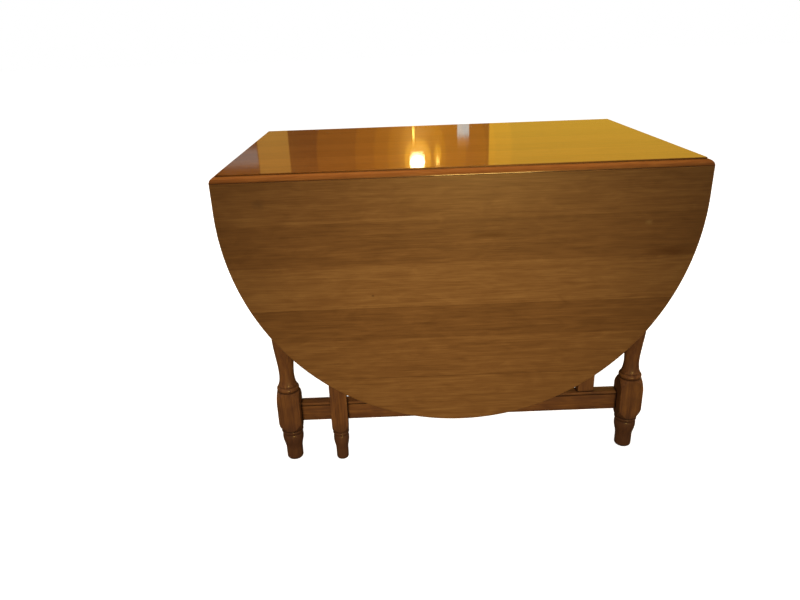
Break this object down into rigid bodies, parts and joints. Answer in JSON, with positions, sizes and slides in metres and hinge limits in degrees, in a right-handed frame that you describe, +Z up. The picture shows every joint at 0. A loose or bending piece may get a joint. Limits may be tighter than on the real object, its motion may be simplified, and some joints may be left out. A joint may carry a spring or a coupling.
{
  "type": "drop leaf table",
  "caption": "Gate-leg table in glossy maple with a fixed middle top, hinged curved leaves hanging on rule joints, turned legs and swinging gate legs.",
  "frame": {"origin": "on the floor under the middle of the top", "axes": "+X along the length of the top, +Z up, the front leaf on the -Y side"},
  "size_m": [1.067, 0.7038, 0.743],
  "materials": {
    "top_maple": "orange-brown maple under a high-gloss lacquer",
    "leaf_maple": "brown maple, edge-glued boards, glossy lacquer",
    "turned_maple": "dark reddish-brown stained maple, satin lacquer",
    "plain_wood": "unfinished wood of hidden blocks",
    "hinge_brass": "dull brass-plated steel",
    "pivot_steel": "plain steel pins"
  },
  "bodies": {
    "frame": {"centre_top": "top_maple", "front_left_leg": "turned_maple", "front_left_corner_block": "plain_wood", "front_right_leg": "turned_maple", "front_right_corner_block": "plain_wood", "front_apron": "turned_maple", "front_stretcher": "turned_maple", "front_gate_upper_pivot": "pivot_steel", "front_gate_lower_pivot": "pivot_steel", "front_hinge_1_top_plate": "hinge_brass", "front_hinge_1_pin": "pivot_steel", "front_hinge_2_top_plate": "hinge_brass", "front_hinge_2_pin": "pivot_steel", "front_hinge_3_top_plate": "hinge_brass", "front_hinge_3_pin": "pivot_steel", "rear_left_leg": "turned_maple", "rear_left_corner_block": "plain_wood", "rear_right_leg": "turned_maple", "rear_right_corner_block": "plain_wood", "rear_apron": "turned_maple", "rear_stretcher": "turned_maple", "rear_gate_upper_pivot": "pivot_steel", "rear_gate_lower_pivot": "pivot_steel", "rear_hinge_1_top_plate": "hinge_brass", "rear_hinge_1_pin": "pivot_steel", "rear_hinge_2_top_plate": "hinge_brass", "rear_hinge_2_pin": "pivot_steel", "rear_hinge_3_top_plate": "hinge_brass", "rear_hinge_3_pin": "pivot_steel", "left_apron": "turned_maple", "right_apron": "turned_maple"},
    "front_leaf": {"front_leaf": "leaf_maple", "front_gate_stop": "plain_wood", "front_hinge_1_leaf_plate": "hinge_brass", "front_hinge_2_leaf_plate": "hinge_brass", "front_hinge_3_leaf_plate": "hinge_brass"},
    "front_gate": {"front_gate_post": "turned_maple", "front_gate_leg": "turned_maple", "front_gate_upper_rail": "turned_maple", "front_gate_lower_rail": "turned_maple"},
    "rear_leaf": {"rear_leaf": "leaf_maple", "rear_gate_stop": "plain_wood", "rear_hinge_1_leaf_plate": "hinge_brass", "rear_hinge_2_leaf_plate": "hinge_brass", "rear_hinge_3_leaf_plate": "hinge_brass"},
    "rear_gate": {"rear_gate_post": "turned_maple", "rear_gate_leg": "turned_maple", "rear_gate_upper_rail": "turned_maple", "rear_gate_lower_rail": "turned_maple"}
  },
  "joints": [
    {"name": "front_leaf_hinge", "type": "hinge", "parent": "frame", "child": "front_leaf", "pos_m": [0, -0.336, 0.7271], "axis": [-1, 0, 0], "range_deg": [0, 90]},
    {"name": "rear_leaf_hinge", "type": "hinge", "parent": "frame", "child": "rear_leaf", "pos_m": [0, 0.336, 0.7271], "axis": [1, 0, 0], "range_deg": [0, 90]},
    {"name": "front_gate_swing", "type": "hinge", "parent": "frame", "child": "front_gate", "pos_m": [0.32, -0.276, 0.4], "axis": [0, 0, 1], "range_deg": [0, 0.4]},
    {"name": "rear_gate_swing", "type": "hinge", "parent": "frame", "child": "rear_gate", "pos_m": [-0.32, 0.276, 0.4], "axis": [0, 0, 1], "range_deg": [0, 0.4]}
  ]
}
